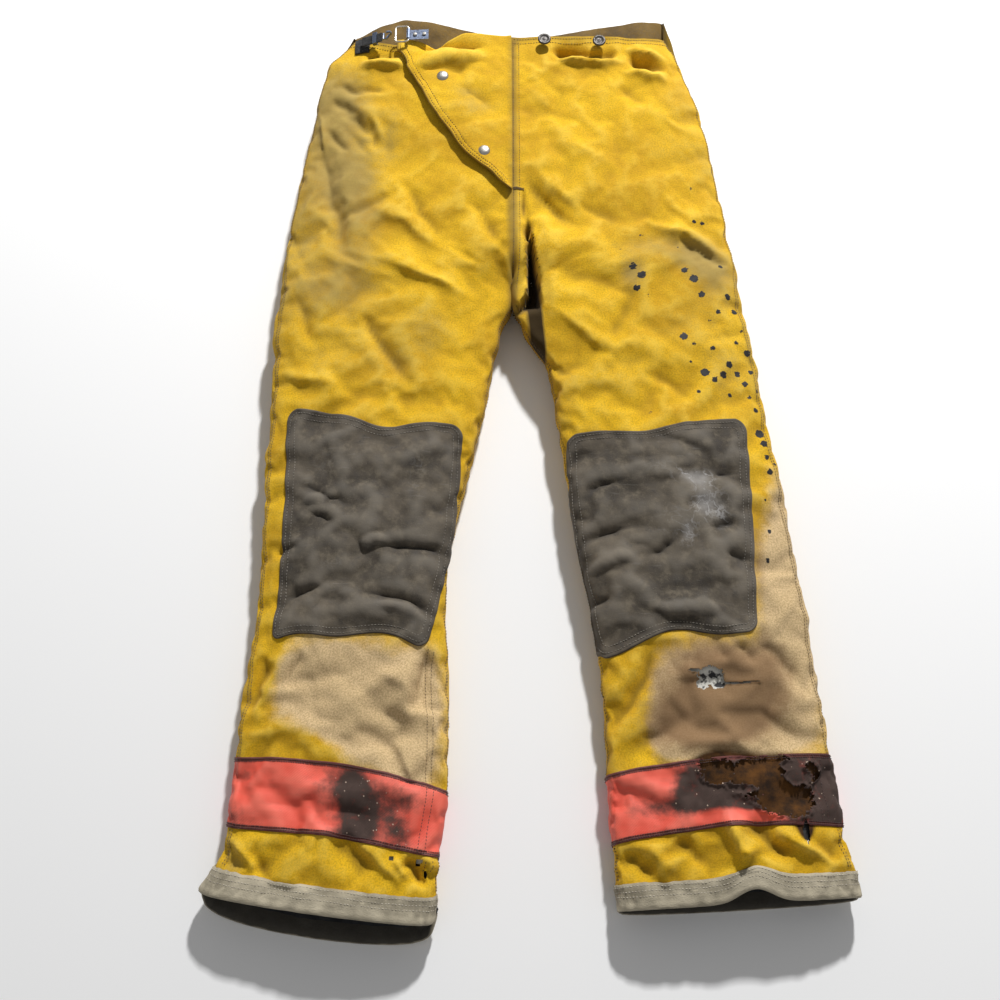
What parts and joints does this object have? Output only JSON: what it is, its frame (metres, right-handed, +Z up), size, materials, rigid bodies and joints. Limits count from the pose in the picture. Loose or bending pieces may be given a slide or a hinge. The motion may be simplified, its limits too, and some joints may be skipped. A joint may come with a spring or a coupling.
{
  "type": "firefighter bunker pants",
  "caption": "Firefighter's bunker pants laid on their back: canvas shell, liner, knee patches, red trim, snap fly and hook-and-ring waist closure.",
  "frame": {"origin": "centre of the bounding box's bottom face, on the surface that the pants lie on", "axes": "+Y from the hems to the waist, +Z up out of the garment's front, +X to the wearer's left"},
  "size_m": [0.6817, 1.1763, 0.082],
  "materials": {
    "shell_canvas": "golden cotton canvas, faded and sooty",
    "knee_suede": "dark grey-brown suede, scuffed",
    "trim_red": "fluorescent red-orange trim, charred in the middle",
    "cuff_suede": "grey suede, worn",
    "moisture_membrane": "off-white coated cloth",
    "thermal_quilt": "dark quilted felt",
    "waist_cloth": "dark brown cotton",
    "black_webbing": "black woven webbing",
    "pad_foam": "matt foam",
    "nickel": "dull nickel",
    "blued_steel": "blued steel"
  },
  "bodies": {
    "seat": {"seat_front_right": "shell_canvas", "seat_front_left": "shell_canvas", "seat_back_right": "shell_canvas", "seat_back_left": "shell_canvas", "moisture_barrier_seat": "moisture_membrane", "thermal_liner_seat": "thermal_quilt", "waist_facing": "waist_cloth", "fly_facing": "shell_canvas", "fly_snap_stud_upper": "nickel", "fly_snap_stud_lower": "nickel", "suspender_button_front_inner": "nickel", "suspender_button_front_outer": "nickel", "suspender_button_rear_right_outer": "nickel", "suspender_button_rear_right_inner": "nickel", "suspender_button_rear_left_inner": "nickel", "suspender_button_rear_left_outer": "nickel", "strap_anchor": "black_webbing"},
    "thigh_right": {"thigh_front_right": "shell_canvas", "thigh_back_right": "shell_canvas", "moisture_barrier_thigh_right": "moisture_membrane", "thermal_liner_thigh_right": "thermal_quilt", "knee_patch_right": "knee_suede", "knee_pad_right": "pad_foam"},
    "thigh_left": {"thigh_front_left": "shell_canvas", "thigh_back_left": "shell_canvas", "moisture_barrier_thigh_left": "moisture_membrane", "thermal_liner_thigh_left": "thermal_quilt", "knee_patch_left": "knee_suede", "knee_pad_left": "pad_foam"},
    "shin_right": {"shin_front_right": "shell_canvas", "shin_back_right": "shell_canvas", "moisture_barrier_shin_right": "moisture_membrane", "thermal_liner_shin_right": "thermal_quilt", "trim_band_right": "trim_red", "hem_cuff_right": "cuff_suede"},
    "shin_left": {"shin_front_left": "shell_canvas", "shin_back_left": "shell_canvas", "moisture_barrier_shin_left": "moisture_membrane", "thermal_liner_shin_left": "thermal_quilt", "trim_band_left": "trim_red", "hem_cuff_left": "cuff_suede"},
    "fly_flap": {"fly_flap": "shell_canvas", "fly_snap_cap_upper": "nickel", "fly_snap_cap_lower": "nickel", "fly_snap_socket_upper": "nickel", "fly_snap_socket_lower": "nickel", "ring_plate": "blued_steel", "plate_rivet_outer": "nickel", "plate_rivet_inner": "nickel"},
    "dee_ring": {"dee_ring": "nickel"},
    "hook_strap": {"waist_strap": "black_webbing", "strap_hook": "blued_steel"},
    "strap_keeper": {"strap_keeper": "blued_steel"}
  },
  "joints": [
    {"name": "hip_right", "type": "hinge", "parent": "seat", "child": "thigh_right", "pos_m": [-0.0195, 0.1724, 0.0716], "axis": [-1, 0, 0], "range_deg": [0, 90]},
    {"name": "hip_left", "type": "hinge", "parent": "seat", "child": "thigh_left", "pos_m": [-0.0195, 0.1724, 0.0716], "axis": [-1, 0, 0], "range_deg": [0, 90]},
    {"name": "knee_right", "type": "hinge", "parent": "thigh_right", "child": "shin_right", "pos_m": [-0.0195, -0.1426, 0], "axis": [1, 0, 0], "range_deg": [0, 100]},
    {"name": "knee_left", "type": "hinge", "parent": "thigh_left", "child": "shin_left", "pos_m": [-0.0195, -0.1426, 0], "axis": [1, 0, 0], "range_deg": [0, 100]},
    {"name": "fly_opening", "type": "hinge", "parent": "seat", "child": "fly_flap", "pos_m": [-0.0195, 0.3074, 0.077], "axis": [0, 1, 0], "range_deg": [0, 150]},
    {"name": "ring_swing", "type": "hinge", "parent": "fly_flap", "child": "dee_ring", "pos_m": [-0.15515, 0.5304, 0.0766], "axis": [0, 1, 0], "range_deg": [0, 140]},
    {"name": "strap_lift", "type": "hinge", "parent": "seat", "child": "hook_strap", "pos_m": [-0.2175, 0.5304, 0.0606], "axis": [0, -1, 0], "range_deg": [0, 90]},
    {"name": "keeper_slide", "type": "slide", "parent": "hook_strap", "child": "strap_keeper", "axis": [0.9336, 0, 0.3584], "range_m": [-0.006, 0.005]}
  ]
}
